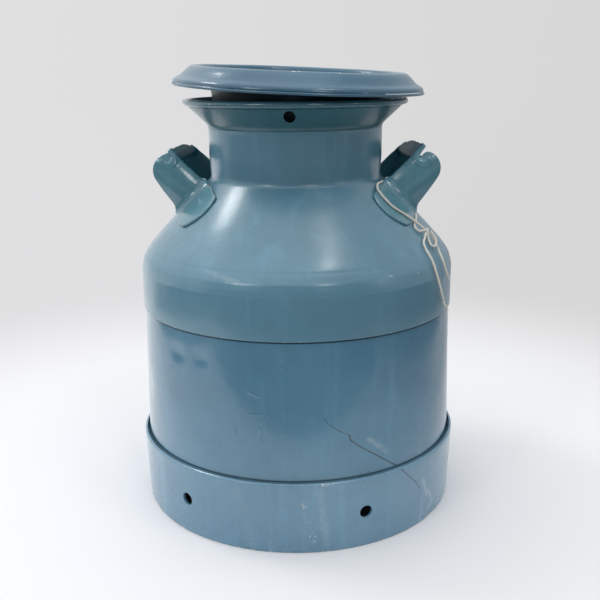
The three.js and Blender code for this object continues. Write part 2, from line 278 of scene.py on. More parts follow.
# ---- string --------------------------------------------------------------------------
STRING_R = 1.15
KNOT = (130.3, -60.0, 295.6)
END_KNOT = (146.4, -81.6, 227.6)
LOOP = [
    [127.4, -60.7, 298.2], [124.1, -61.4, 301.0], [120.2, -62.3, 304.2],
    [114.7, -63.4, 308.4], [109.5, -64.6, 312.1], [102.6, -67.6, 316.6],
    [96.2, -69.7, 321.0], [91.1, -69.0, 325.7], [86.4, -67.3, 330.6],
    [82.7, -65.3, 335.1], [80.6, -61.4, 338.7], [81.4, -54.3, 340.9],
    [82.6, -47.7, 341.7], [85.8, -41.4, 341.7], [87.7, -36.2, 342.2],
    [91.2, -32.5, 340.1], [95.4, -31.6, 336.3], [99.7, -31.3, 332.2],
    [104.0, -31.3, 328.0], [108.2, -31.2, 323.7], [112.6, -30.7, 319.6],
    [116.9, -29.9, 315.5], [120.7, -30.0, 311.6], [122.6, -33.5, 308.8],
    [122.6, -38.5, 307.3], [121.8, -44.6, 306.2], [120.8, -50.7, 304.9],
    [119.3, -56.8, 303.6], [118.0, -61.9, 302.5], [118.1, -65.7, 300.6],
    [120.0, -67.2, 298.1], [122.7, -66.4, 296.4], [127.8, -63.2, 296.3],
]
TAIL_LONG = [
    [129.6, -63.4, 293.4], [128.0, -68.2, 291.3], [126.6, -73.5, 289.5],
    [125.2, -79.2, 287.4], [126.2, -85.2, 283.0], [128.8, -89.4, 278.2],
    [131.4, -92.2, 273.4], [133.6, -94.0, 268.0], [135.4, -94.8, 262.2],
    [137.4, -94.2, 256.0], [139.4, -92.4, 250.0], [141.2, -90.0, 244.4],
    [143.0, -87.2, 238.6], [144.8, -84.2, 233.2], [145.9, -82.4, 230.4],
]
TAIL_SHORT = [
    [132.5, -58.7, 292.4], [135.1, -58.2, 290.8], [137.2, -59.6, 288.0],
    [138.8, -62.1, 284.9], [139.9, -65.0, 282.1], [141.1, -67.9, 279.4],
    [142.3, -70.3, 276.3], [143.6, -72.4, 273.2], [144.8, -73.8, 269.8],
    [146.1, -74.6, 266.6], [147.3, -74.8, 263.2], [148.3, -74.6, 260.0],
    [149.2, -74.1, 256.8], [150.3, -73.3, 254.0], [151.3, -72.3, 251.4],
]
BOW = [
    [131.6, -61.8, 291.8], [131.7, -63.9, 289.9], [131.9, -66.5, 288.2],
    [132.2, -69.0, 286.7], [132.7, -71.4, 285.0], [133.8, -73.3, 283.4],
    [135.7, -73.8, 282.4], [137.7, -72.2, 282.5], [138.9, -69.5, 283.8],
    [139.4, -66.9, 285.7], [139.2, -64.5, 287.9], [138.3, -62.5, 290.0],
    [137.1, -61.4, 291.9], [135.4, -61.0, 293.5], [134.8, -61.2, 295.4],
]


def smooth_line(route, step):
    """A Catmull-Rom curve through the route, sampled evenly."""
    p = np.array(route, dtype=float)
    p = np.vstack([2 * p[0] - p[1], p, 2 * p[-1] - p[-2]])
    fine = []
    for i in range(1, len(p) - 2):
        t = np.linspace(0, 1, 12, endpoint=False)[:, None]
        a, b, c, d = p[i - 1], p[i], p[i + 1], p[i + 2]
        fine.append(
            0.5 * (2 * b + (c - a) * t + (2 * a - 5 * b + 4 * c - d) * t**2
                   + (3 * b - a - 3 * c + d) * t**3)
        )
    fine = np.vstack(fine + [p[-2:-1]])
    run = np.r_[0, np.cumsum(np.linalg.norm(np.diff(fine, axis=0), axis=1))]
    at = np.linspace(0, run[-1], max(2, int(round(run[-1] / step))) + 1)
    return np.stack([np.interp(at, run, fine[:, i]) for i in range(3)], 1), run[-1]


def swept(line, section, closed=False):
    """Points and faces of a tube. section(i, run, angles) gives each ring's radii."""
    ahead = np.gradient(line, axis=0)
    if closed:
        ahead = np.roll(line, -1, axis=0) - np.roll(line, 1, axis=0)
    ahead /= np.linalg.norm(ahead, axis=1, keepdims=True)
    normal = np.cross(ahead[0], [0.31, 0.52, 0.79])
    sides = 24
    angles = 2 * pi * np.arange(sides) / sides
    run, points = 0.0, []
    for i, (p, t) in enumerate(zip(line, ahead)):
        normal = normal - t * (normal @ t)
        normal /= np.linalg.norm(normal)
        other = np.cross(t, normal)
        if i:
            run += float(np.linalg.norm(p - line[i - 1]))
        r = section(i, run, angles)
        points.append(p + np.outer(r * np.cos(angles), normal) + np.outer(r * np.sin(angles), other))
    count = len(line)
    faces = []
    for i in range(count if closed else count - 1):
        j = (i + 1) % count
        for k in range(sides):
            m = (k + 1) % sides
            faces.append((i * sides + k, i * sides + m, j * sides + m, j * sides + k))
    if not closed:
        faces.append(tuple(range(sides))[::-1])
        faces.append(tuple(range((count - 1) * sides, count * sides)))
    return np.vstack(points), faces


def plied(radius, lay=5.2, seed=0, taper=0.0, total=1.0):
    """Ring radii of three twisted strands, a little uneven along their length."""
    rng = np.random.default_rng(seed)
    phase = rng.uniform(0, 2 * pi, 3)

    def section(i, run, angles):
        turn = 2 * pi * run / lay + phase[0] + 0.5 * sin(run / 9 + phase[1])
        best = np.zeros(len(angles))
        for k in range(3):
            a = angles - turn - 2 * pi * k / 3
            reach = 0.46 * np.cos(a) + np.sqrt(
                np.maximum(0.54**2 - (0.46 * np.sin(a)) ** 2, 0)
            )
            best = np.maximum(best, np.where(np.cos(a) > -0.2, reach, 0))
        uneven = 0.955 + 0.045 * sin(run / 2.3 + phase[2])
        return radius * np.clip(best, 0.5, 1.0) * uneven

    return section


def knotted(name, centre, size, tube, turn, seed):
    """A pulled-tight overhand knot."""
    t = np.linspace(0, 2 * pi, 150, endpoint=False)
    line = np.stack(
        [np.sin(t) + 2 * np.sin(2 * t), np.cos(t) - 2 * np.cos(2 * t), -1.35 * np.sin(3 * t)], 1
    )
    line *= (size - tube) / 3.02
    c, s = cos(turn), sin(turn)
    line = line @ np.array([[c, 0, s], [0, 1, 0], [-s, 0, c]]).T
    line = line @ np.array([[1, 0, 0], [0, cos(0.9), -sin(0.9)], [0, sin(0.9), cos(0.9)]]).T
    points, faces = swept(line + np.array(centre), plied(tube, seed=seed), closed=True)
    return place(name, points, faces, smooth=180)


def frayed(name, start, way, count, spread, long, seed):
    """Loose fibres splayed from a cut end."""
    rng = np.random.default_rng(seed)
    way = np.array(way, float) / np.linalg.norm(way)
    points, faces = [], []
    for _ in range(count):
        lean = rng.normal(size=3) * spread
        reach = long * rng.uniform(0.45, 1.0)
        t = np.linspace(0, 1, 9)[:, None]
        root = np.array(start) + rng.normal(size=3) * 0.28
        curl = rng.normal(size=3) * 0.12
        line = root + way * reach * t + lean * reach * t**1.6 + curl * reach * np.sin(3 * t)
        thin = rng.uniform(0.2, 0.36)
        p, f = swept(line, lambda i, run, a: np.full(len(a), thin * (1 - 0.06 * i)))
        faces += [tuple(v + sum(len(q) for q in points) for v in face) for face in f]
        points.append(p)
    return place(name, np.vstack(points), faces, smooth=180)


# ---- shader helpers ------------------------------------------------------------------
class Graph:
    """A material's node tree, written as nested calls."""

    def __init__(self, name):
        self.material = bpy.data.materials.new(name)
        self.material.use_nodes = True
        self.tree = self.material.node_tree
        self.tree.nodes.clear()
        self.output = self.tree.nodes.new("ShaderNodeOutputMaterial")

    def node(self, kind, inputs=(), **settings):
        made = self.tree.nodes.new(kind)
        for key, value in settings.items():
            setattr(made, key, value)
        for key, value in dict(inputs).items():
            socket = made.inputs[key]
            if isinstance(value, bpy.types.NodeSocket):
                self.tree.links.new(value, socket)
            else:
                socket.default_value = value
        return made

    def math(self, operation, *values, clamp=False):
        made = self.node(
            "ShaderNodeMath", dict(enumerate(values)), operation=operation, use_clamp=clamp
        )
        return made.outputs[0]

    def vector(self, operation, *values, out=0):
        made = self.node(
            "ShaderNodeVectorMath", dict(enumerate(values)), operation=operation
        )
        return made.outputs[out]

    def step(self, value, low, high):
        """0 at low and 1 at high, eased."""
        made = self.node(
            "ShaderNodeMapRange",
            {0: value, 1: low, 2: high, 3: 0.0, 4: 1.0},
            interpolation_type="SMOOTHSTEP",
        )
        return made.outputs[0]

    def mix(self, factor, a, b, blend="MIX"):
        made = self.node("ShaderNodeMix", data_type="RGBA", blend_type=blend)
        for socket, value in ((made.inputs[0], factor), (made.inputs[6], a), (made.inputs[7], b)):
            if isinstance(value, bpy.types.NodeSocket):
                self.tree.links.new(value, socket)
            elif hasattr(value, "__len__"):
                socket.default_value = (*value[:3], 1)
            else:
                socket.default_value = value
        return made.outputs[2]

    def noise(self, place_, scale, detail=2.0, rough=0.5, distort=0.0):
        made = self.node(
            "ShaderNodeTexNoise",
            {"Vector": place_, "Scale": scale, "Detail": detail, "Roughness": rough,
             "Distortion": distort},
        )
        return made.outputs[0]

    def cells(self, place_, scale, feature="F1"):
        made = self.node(
            "ShaderNodeTexVoronoi", {"Vector": place_, "Scale": scale}, feature=feature
        )
        return made.outputs["Distance"]

    def here(self):
        return self.node("ShaderNodeTexCoord").outputs["Object"]

    def split(self, place_):
        made = self.node("ShaderNodeSeparateXYZ", {0: place_})
        return made.outputs[0], made.outputs[1], made.outputs[2]

    def stretched(self, place_, x, y, z):
        return self.vector("MULTIPLY", place_, (x, y, z))

    def segment(self, place_, a, b):
        """Distance from a straight line between two points."""
        a, b = Vector(a), Vector(b)
        run = b - a
        off = self.vector("SUBTRACT", place_, tuple(a))
        along = self.vector("DOT_PRODUCT", off, tuple(run / run.length_squared), out=1)
        along = self.math("ADD", along, 0.0, clamp=True)
        near = self.node("ShaderNodeVectorMath", {0: tuple(run)}, operation="SCALE")
        self.tree.links.new(along, near.inputs[3])
        return self.vector("LENGTH", self.vector("SUBTRACT", off, near.outputs[0]), out=1)

    def path(self, place_, points):
        parts = [self.segment(place_, a, b) for a, b in zip(points[:-1], points[1:])]
        best = parts[0]
        for other in parts[1:]:
            best = self.math("MINIMUM", best, other)
        return best

    def union(self, masks):
        best = masks[0]
        for other in masks[1:]:
            best = self.math("MAXIMUM", best, other)
        return best

    def finish(self, shader):
        self.tree.links.new(shader, self.output.inputs["Surface"])
        return self.material


def on_wall(azimuth, z, r):
    """A point in metres at an azimuth, height and radius in degrees and millimetres."""
    a = radians(azimuth)
    return (r * sin(a) * MM, -r * cos(a) * MM, z * MM)


def enamel(name, colour, deep, roughness=0.24, bump=1.0, rings=(), chips_and_glints=(), scratches=(),
           scuffs_and_highlights=(), drips=(), grime=(), chip_and_glint_colour=(0.55, 0.6, 0.6), streak=0.25, speck=0.62,
           base=None, coat=0.55, haze=0.11, shine=0.5, shadow_lines=()):
    """Gloss paint on sheet steel. Marks are (points, width in mm, strength); a ring is
    (radius, height, width, strength) in mm round the axis of the base, where one is given,
    and a shadow line is the same, filled with near-black as painted shadow."""
    g = Graph(name)
    here = g.here()
    if base is not None:
        back = base.inverted()
        here = g.node("ShaderNodeMapping", {
            "Vector": here, "Location": back.to_translation(), "Rotation": back.to_euler(),
        }).outputs[0]
    x, y, z = g.split(here)
    large = g.noise(here, 8.0, 3.0, 0.55)
    middle = g.noise(here, 42.0, 4.0, 0.6)
    fine = g.noise(here, 420.0, 3.0, 0.6)
    runs = g.noise(g.stretched(here, 60.0, 60.0, 5.0), 1.0, 3.0, 0.55)
    paint = g.mix(g.step(large, 0.32, 0.68), deep, colour)
    paint = g.mix(
        g.math("MULTIPLY", g.step(runs, 0.52, 0.72), streak), paint,
        tuple(min(1, c * 1.45) for c in colour),
    )
    paint = g.mix(
        g.math("MULTIPLY", g.step(middle, 0.45, 0.75), 0.16), paint,
        tuple(c * 0.62 for c in deep),
    )
    # Dust and rubbing: pale, thin and broken up.
    rub = g.math("MULTIPLY", g.step(g.noise(here, 130.0, 5.0, 0.7), 0.55, 0.85), 0.10)
    paint = g.mix(rub, paint, (0.42, 0.52, 0.56))

    wobble = g.math("MULTIPLY", g.math("SUBTRACT", middle, 0.5), 0.006)
    jag = g.math("MULTIPLY", g.math("SUBTRACT", fine, 0.5), 0.0035)

    def marked(marks, fade):
        found = []
        for points, width, strength in marks:
            d = g.math("ADD", g.math("ADD", g.path(here, points), wobble), jag)
            edge = g.step(d, width * MM, width * MM * fade)
            found.append(g.math("MULTIPLY", edge, strength))
        return found

    r = g.vector("LENGTH", g.node("ShaderNodeCombineXYZ", {0: x, 1: y, 2: 0.0}).outputs[0], out=1)

    def circled(hoops):
        found = []
        for radius, height, width, strength in hoops:
            dr = g.math("SUBTRACT", r, radius * MM)
            dz = g.math("SUBTRACT", z, height * MM)
            d = g.math(
                "SQRT", g.math("ADD", g.math("MULTIPLY", dr, dr), g.math("MULTIPLY", dz, dz)))
            found.append(g.math("MULTIPLY", g.step(d, width * MM, width * MM * 0.2), strength))
        return found

    # Painted shadow: near-black rings where one part's edge overhangs the next.
    if shadow_lines:
        paint = g.mix(g.union(circled(shadow_lines)), paint, (0.012, 0.025, 0.032))
    # Pale flecks of worn paint, which on the breast's knuckle are painted highlight glints.
    wear_and_glints = circled(rings)
    wear_and_glints += marked(chips_and_glints, 0.15)
    flakes = g.noise(here, 330.0, 4.0, 0.65)
    chipped_and_glints = None
    if wear_and_glints:
        zone = g.union(wear_and_glints)
        level = g.math("SUBTRACT", speck + 0.14, g.math("MULTIPLY", zone, 0.24))
        gap = g.math("SUBTRACT", flakes, level)
        chipped_and_glints = g.math("MULTIPLY", g.step(gap, 0.0, 0.03), g.step(zone, 0.02, 0.2))
        paint = g.mix(chipped_and_glints, paint, chip_and_glint_colour)
    # Pale smears: scuffs, and on the hoop also painted highlight bands.
    if scuffs_and_highlights:
        smear_and_highlight = g.union(marked(scuffs_and_highlights, 0.1))
        smear_and_highlight = g.math("MULTIPLY", smear_and_highlight, g.step(flakes, 0.3, 0.6))
        paint = g.mix(smear_and_highlight, paint, (0.5, 0.6, 0.64))
    if grime:
        dirt = g.union(marked(grime, 0.1))
        paint = g.mix(dirt, paint, (0.12, 0.1, 0.075))
    scored = None
    if scratches:
        scored = g.union([
            g.math("MULTIPLY", g.step(
                g.math("ADD", g.path(here, points), g.math("MULTIPLY", jag, 0.25)),
                width * MM, width * MM * 0.3), strength)
            for points, width, strength in scratches
        ])
        paint = g.mix(scored, paint, (0.03, 0.045, 0.055))

    # Relief: orange peel, brushed runs, scratches sunk in, drips standing proud.
    height = g.math("MULTIPLY", g.noise(here, 210.0, 2.0, 0.45), 0.10 * bump)
    height = g.math("ADD", height, g.math("MULTIPLY", large, 1.1 * bump))
    height = g.math("ADD", height, g.math("MULTIPLY", middle, 0.32 * bump))
    height = g.math("ADD", height, g.math("MULTIPLY", runs, 0.10 * bump))
    if scored is not None:
        height = g.math("SUBTRACT", height, g.math("MULTIPLY", scored, 0.25))
    if drips:
        beads = []
        for points, width, strength in drips:
            d = g.path(here, points)
            beads.append(g.math("MULTIPLY", g.step(d, width * MM, 0.0), strength))
        height = g.math("ADD", height, g.union(beads))
    relief = g.node("ShaderNodeBump", {"Strength": 1.0, "Distance": MM, "Height": height})

    matt = g.math("ADD", roughness, g.math("MULTIPLY", g.step(middle, 0.35, 0.75), 0.08))
    matt = g.math("ADD", matt, g.math("MULTIPLY", rub, 0.9))
    if chipped_and_glints is not None:
        matt = g.math("ADD", matt, g.math("MULTIPLY", chipped_and_glints, 0.45), clamp=True)
    shader = g.node("ShaderNodeBsdfPrincipled", {
        "Base Color": paint, "Roughness": matt, "Normal": relief.outputs[0], "IOR": 1.55,
        "Coat Weight": coat, "Coat Roughness": haze, "Coat IOR": 1.5,
        "Specular IOR Level": shine,
    })
    return g.finish(shader.outputs[0])


# ---- finishes ------------------------------------------------------------------------
BLUE, BLUE_DEEP = (0.113, 0.272, 0.39), (0.09, 0.228, 0.335)
BODY_LINE = ((167.0, 52.0), (162.9, 228.0))


def body_radius(z):
    (r0, z0), (r1, z1) = BODY_LINE
    return r0 + (r1 - r0) * (z - z0) / (z1 - z0)


def wall(azimuth, z):
    return on_wall(azimuth, z, body_radius(z))


def hoop_wall(azimuth, z):
    return on_wall(azimuth, z, 169.0 + 2.5 * z / 75)


def breast_wall(azimuth, z):
    if z < 253.1:
        return on_wall(azimuth, z, 164.9)
    if z < 277.6:
        return on_wall(azimuth, z, 129.6 + math.sqrt(35.3**2 - (z - 253.1) ** 2))
    return on_wall(azimuth, z, 155.0 - (z - 277.6) * math.tan(radians(44)))


# A lighter copy of the can's blue: painted light from the floor on the hoop.
HOOP_PAINT_AND_LIGHT = enamel(
    "hoop_enamel_and_light", (0.15, 0.315, 0.44), (0.12, 0.265, 0.38), streak=0.35,
    rings=[(169.3, 0.6, 2.6, 0.95), (170.8, 74.6, 2.2, 0.55), (155.0, 1.0, 9.0, 0.6)],
    chips_and_glints=[
        ([hoop_wall(7.5, 73.5), hoop_wall(12.0, 73.2)], 4.0, 1.0),
        ([hoop_wall(1.4, 56.0), hoop_wall(5.5, 8.0)], 6.5, 0.72),
        ([hoop_wall(52.0, 14.0), hoop_wall(57.0, 3.0)], 6.0, 0.85),
        ([hoop_wall(150.0, 74.0), hoop_wall(171.0, 73.5)], 5.0, 0.9),
        ([hoop_wall(-120.0, 30.0), hoop_wall(-114.0, 6.0)], 7.0, 0.8),
    ],
    scratches=[
        ([hoop_wall(35.6, 74.6), hoop_wall(42.9, 53.4), hoop_wall(46.5, 41.0)], 0.75, 0.85),
        ([hoop_wall(-150.0, 62.0), hoop_wall(-141.0, 41.0)], 0.7, 0.7),
    ],
    scuffs_and_highlights=[
        ([hoop_wall(48.0, 49.0), hoop_wall(50.5, 30.0)], 3.4, 0.75),
        ([hoop_wall(51.6, 34.0), hoop_wall(55.0, 16.0)], 2.6, 0.7),
        # Painted highlights: the two faint pale bands the height of the hoop, at 7 and -20 degrees;
        # the one at 7 degrees is also scuffing.
        ([hoop_wall(7.0, 66.0), hoop_wall(9.0, 10.0)], 6.0, 0.22),
        ([hoop_wall(-20.0, 62.0), hoop_wall(-16.0, 8.0)], 9.0, 0.10),
        ([hoop_wall(120.0, 50.0), hoop_wall(128.0, 22.0)], 8.0, 0.4),
    ],
)
BODY_PAINT = enamel(
    "body_enamel", BLUE, BLUE_DEEP, roughness=0.21, haze=0.075,
    # Painted shadow: dark lines under the skirt's lower edge and along the top of the hoop.
    shadow_lines=[(163.3, 212.3, 1.35, 0.85), (166.9, 75.6, 1.6, 0.7)],
    scratches=[
        ([wall(8.6, 139), wall(9.8, 132.8), wall(13.6, 124.6), wall(17.0, 119.4)], 0.5, 0.8),
        ([wall(17.0, 119.4), wall(17.6, 113.2), wall(22.6, 102.2), wall(27.1, 93.2),
          wall(35.6, 75.5)], 0.85, 0.95),
        ([wall(-74, 150), wall(-66, 118)], 0.6, 0.5),
        ([wall(161, 170), wall(172, 121), wall(176, 112)], 0.8, 0.7),
        ([wall(98, 190), wall(104, 172)], 0.7, 0.6),
    ],
    scuffs_and_highlights=[
        ([wall(24, 112), wall(31, 95)], 4.0, 0.35),
        ([wall(-140, 160), wall(-128, 140)], 9.0, 0.35),
        ([wall(75, 120), wall(83, 96)], 7.0, 0.35),
    ],
    chips_and_glints=[
        ([wall(40, 88), wall(47, 80)], 4.0, 0.7),
        ([wall(-100, 100), wall(-96, 92)], 5.0, 0.75),
        ([wall(140, 200), wall(146, 190)], 5.0, 0.8),
    ],
    drips=[
        ([wall(-15.8, 163), wall(-12.7, 159.5)], 2.6, 0.55),
        ([wall(-16.2, 141), wall(-11.4, 142)], 2.2, 0.4),
        ([wall(-21.2, 124), wall(-21.0, 120)], 2.0, 0.45),
        ([wall(-12.4, 127), wall(-12.4, 122)], 2.2, 0.5),
        ([wall(-12.4, 117), wall(-12.3, 114)], 1.8, 0.4),
        ([wall(150, 130), wall(150.4, 118)], 2.2, 0.5),
        ([wall(-95, 150), wall(-95, 139)], 2.0, 0.45),
    ],
)
BREAST_PAINT = enamel(
    "breast_enamel", (0.122, 0.285, 0.382), (0.098, 0.242, 0.33), roughness=0.3, haze=0.21,
    # The second ring, at height 268, and the first two chips fleck the knuckle pale: painted
    # highlight glints.
    rings=[(164.7, 213.8, 1.3, 0.6), (161.5, 268.0, 3.0, 0.2)],
    chips_and_glints=[
        ([breast_wall(31.0, 268.5), breast_wall(35.0, 267.0)], 2.4, 0.8),
        ([breast_wall(39.0, 268.0), breast_wall(46.0, 266.0)], 2.8, 0.8),
        ([breast_wall(-54.0, 250.0), breast_wall(-50.0, 244.0)], 4.0, 0.55),
        ([breast_wall(100.0, 268.0), breast_wall(116.0, 262.0)], 6.0, 0.85),
        ([breast_wall(-150.0, 270.0), breast_wall(-139.0, 262.0)], 6.0, 0.85),
        ([breast_wall(-112.0, 300.0), breast_wall(-108.0, 296.0)], 4.0, 0.7),
    ],
    scuffs_and_highlights=[
        ([breast_wall(-32.0, 274.0), breast_wall(-20.0, 268.0)], 4.0, 0.25),
        ([breast_wall(160.0, 300.0), breast_wall(170.0, 285.0)], 8.0, 0.35),
    ],
    scratches=[
        ([breast_wall(-70.0, 305.0), breast_wall(-61.0, 290.0)], 0.6, 0.5),
        ([breast_wall(130.0, 310.0), breast_wall(141.0, 282.0)], 0.7, 0.6),
    ],
)
# Deeper teal paint, darkened further as painted shade under the lid.
BOWL_PAINT_AND_SHADE = enamel(
    "bowl_enamel_and_shade", (0.054, 0.172, 0.21), (0.042, 0.137, 0.17), streak=0.12, roughness=0.34,
    coat=0.25,
    rings=[(110.0, 417.0, 1.6, 0.4)],
)
# A darker copy of the can's paint: painted shade under the lid's rim.
BEAD_PAINT_AND_SHADE = enamel(
    "bead_enamel_and_shade", (0.065, 0.19, 0.24), (0.045, 0.14, 0.18), streak=0.1,
    rings=[(115.5, 421.5, 2.0, 0.5)],
)
HANDLE_PAINT = enamel(
    "handle_enamel", (0.12, 0.3, 0.37), (0.095, 0.245, 0.305), streak=0.2, bump=1.5, haze=0.08,
    chips_and_glints=[
        ([(0.1335, -0.052, 0.3665), (0.1375, -0.052, 0.3560)], 4.0, 0.75),
        ([(-0.1335, -0.052, 0.3635), (-0.1375, -0.052, 0.3540)], 4.0, 0.75),
        ([(0.129, 0.052, 0.372), (0.143, 0.052, 0.359)], 4.0, 0.6),
    ],
    grime=[
        ([(0.1335, -0.052, 0.3690), (0.1350, -0.052, 0.3600)], 4.5, 0.75),
        ([(-0.1320, -0.052, 0.3660), (-0.1330, -0.052, 0.3580)], 4.5, 0.75),
        ([(0.116, -0.040, 0.3700), (0.116, 0.040, 0.3700)], 3.0, 0.4),
    ],
    chip_and_glint_colour=(0.24, 0.2, 0.15),
)
# Painted shade: the plug is painted almost black, for the shade inside the mouth under the lid.
PLUG_SHADE_PAINT = enamel(
    "plug_painted_shade", (0.016, 0.042, 0.054), (0.011, 0.03, 0.04), roughness=0.42, coat=0.1,
    streak=0.1, rings=[(78.0, -41.0, 3.0, 0.4)],
)
# Painted shade: the handles' hollow sides are painted near-black teal, for the shade inside the grip
# and legs.
HANDLE_INSIDE_SHADE = enamel(
    "handle_inside_painted_shade", (0.016, 0.1, 0.13), (0.01, 0.07, 0.092), roughness=0.5,
    streak=0.15, coat=0.0, shine=0.14,
)
# A darker copy of the can's blue, darkened against the light the lid's top catches: painted shade.
LID_PAINT_AND_SHADE = enamel(
    "lid_enamel", (0.062, 0.165, 0.245), (0.05, 0.137, 0.209), streak=0.1, base=LID_AT,
    coat=0.32, shine=0.36,
    rings=[(107.6, 20.3, 2.6, 0.25), (127.9, 2.6, 1.6, 0.25)],
    chips_and_glints=[
        ([(-0.006, -0.108, 0.020), (0.002, -0.108, 0.020)], 3.0, 0.9),
        ([(0.033, -0.103, 0.020), (0.040, -0.101, 0.020)], 3.0, 0.9),
        ([(0.060, -0.09, 0.020), (0.066, -0.086, 0.020)], 2.6, 0.8),
        ([(0.05, 0.095, 0.019), (0.075, 0.08, 0.016)], 6.0, 0.8),
        ([(-0.04, 0.01, 0.005), (0.03, -0.02, 0.005)], 18.0, 0.5),
    ],
    scuffs_and_highlights=[
        ([(-0.07, -0.03, 0.005), (0.05, 0.04, 0.005)], 22.0, 0.3),
    ],
    scratches=[
        ([(-0.05, 0.035, 0.0049), (0.02, 0.055, 0.0049)], 0.7, 0.6),
        ([(0.01, -0.06, 0.0049), (0.055, -0.02, 0.0049)], 0.6, 0.5),
    ],
)
SOLDER_PAINT = enamel(
    "solder_enamel", (0.1, 0.2, 0.27), (0.07, 0.15, 0.2), roughness=0.3, bump=2.0,
    rings=[(169.0, 75.0, 2.0, 0.4)],
)


def bare_steel():
    """Dull tinned sheet with bloom, water marks and specks of rust."""
    g = Graph("tinned_steel")
    here = g.here()
    cloud = g.noise(here, 14.0, 5.0, 0.6)
    grain = g.noise(g.stretched(here, 900.0, 900.0, 40.0), 1.0, 3.0, 0.6)
    rust = g.step(g.noise(here, 90.0, 6.0, 0.7), 0.6, 0.72)
    tone = g.mix(g.step(cloud, 0.3, 0.7), (0.21, 0.22, 0.22), (0.36, 0.37, 0.365))
    tone = g.mix(g.math("MULTIPLY", rust, 0.75), tone, (0.14, 0.075, 0.04))
    height = g.math("ADD", g.math("MULTIPLY", cloud, 0.6), g.math("MULTIPLY", grain, 0.05))
    height = g.math("ADD", height, g.math("MULTIPLY", rust, 0.12))
    relief = g.node("ShaderNodeBump", {"Strength": 1.0, "Distance": MM, "Height": height})
    matt = g.math("ADD", 0.38, g.math("MULTIPLY", g.step(cloud, 0.3, 0.7), 0.2))
    matt = g.math("ADD", matt, g.math("MULTIPLY", rust, 0.3), clamp=True)
    metal = g.math("SUBTRACT", 0.9, g.math("MULTIPLY", rust, 0.9), clamp=True)
    shader = g.node("ShaderNodeBsdfPrincipled", {
        "Base Color": tone, "Roughness": matt, "Metallic": metal, "Normal": relief.outputs[0],
    })
    return g.finish(shader.outputs[0])


def cotton():
    """Undyed twisted cotton, soiled where it was handled, with a short nap."""
    g = Graph("cotton")
    here = g.here()
    soil = g.noise(here, 55.0, 4.0, 0.6)
    lint = g.noise(here, 1900.0, 4.0, 0.7)
    hair = g.noise(here, 5200.0, 2.0, 0.6)
    tone = g.mix(g.step(soil, 0.4, 0.75), (0.93, 0.90, 0.82), (0.82, 0.75, 0.62))
    tone = g.mix(g.math("MULTIPLY", g.step(lint, 0.5, 0.75), 0.35), tone, (0.96, 0.94, 0.88))
    height = g.math("ADD", g.math("MULTIPLY", lint, 0.22), g.math("MULTIPLY", hair, 0.08))
    relief = g.node("ShaderNodeBump", {"Strength": 1.0, "Distance": MM, "Height": height})
    shader = g.node("ShaderNodeBsdfPrincipled", {
        "Base Color": tone, "Roughness": 0.92, "Normal": relief.outputs[0],
        "Sheen Weight": 0.5, "Sheen Roughness": 0.5, "Subsurface Weight": 0.12,
        "Subsurface Radius": (0.001, 0.0009, 0.0007), "Subsurface Scale": 0.5,
    })
    return g.finish(shader.outputs[0])


TINNED = bare_steel()
COTTON = cotton()


# ---- string pieces -------------------------------------------------------------------
def tie_string():
    main = knotted("string_knot_tied", KNOT, 3.5, 1.1, 0.5, 3)
    small = knotted("string_end_knot_tied", END_KNOT, 2.15, 0.72, 1.4, 5)
    for piece, node in ((main, "string_knot"), (small, "string_end_knot")):
        dress(piece, "can", [node], "cotton", COTTON)
    wisp = frayed("string_wisp", (146.6, -81.3, 226.0), (0.35, 0.1, -1.0), 12, 0.26, 9.5, 11)
    fray = frayed("string_fray", (151.2, -72.4, 251.9), (0.5, 0.5, -1.0), 18, 0.24, 5.5, 12)
    for piece in (wisp, fray):
        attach(piece, "can")
        piece.data.materials.append(COTTON)
    strings = (
        ("string_loop_twisted", "string_loop", LOOP, 21, "knot", [main], "taut"),
        ("string_tail_long_twisted", "string_tail_long", TAIL_LONG, 22, "knot", [small, wisp],
         "hanging"),
        ("string_tail_short_twisted", "string_tail_short", TAIL_SHORT, 23, "bare", [fray],
         "hanging"),
        ("string_bow_twisted", "string_bow", BOW, 24, "knot", [], "loose"),
    )
    for name, node, route, seed, far, others, lay in strings:
        line, length = smooth_line(route, 0.34)
        points, faces = swept(line, plied(1.12 * STRING_R, seed=seed))
        piece = place(name, points, faces, smooth=180)
        dress(piece, "can", [node], "cotton", COTTON)


tie_string()


# ---- the can's turned pieces ---------------------------------------------------------
KNUCKLE_END = (129.6 + 35.3 * cos(radians(44)), 253.1 + 35.3 * sin(radians(44)))
SLOPE = radians(44)
CONE_MEETS_NECK = KNUCKLE_END[1] + (KNUCKLE_END[0] - 89.9) / math.tan(SLOPE)


def cone_radius(z):
    return KNUCKLE_END[0] - (z - KNUCKLE_END[1]) * math.tan(SLOPE)


def base_hoop():
    outline = rounded(
        [(156, 0), (168.3, 0), (169.0, 3.0), (171.4, 73.4), (168.9, 75.0), (166.4, 5.1),
         (163.9, 2.6), (156, 2.6)],
        [0.9, 1.4, 1.4, 1.1, 1.0, 2.4, 2.0, 0.9], 4,
    )
    outline = densify(outline + outline[:1], 6)[:-1]
    points, faces = turned(outline, 288)
    points = swelled(points, 0.12 * (1 + ripple(points, 70, 1)))
    points = pressed(points, 54.8, 5.0, 1.3, 8, 6)
    points = pressed(points, -117.0, 16.0, 1.8, 14, 12)
    points = pressed(points, 160.0, 58.0, 1.4, 16, 14)
    hoop = place("hoop_of_base", points, faces)
    cut(hoop, [rod(f"vent_{k}", azimuth, 38, 6.5, 158, 178)
               for k, azimuth in enumerate((-41, 22.6, 80, 140, 200, 260))])
    return dress(hoop, "can", ["base_hoop"], "enamel", HOOP_PAINT_AND_LIGHT)


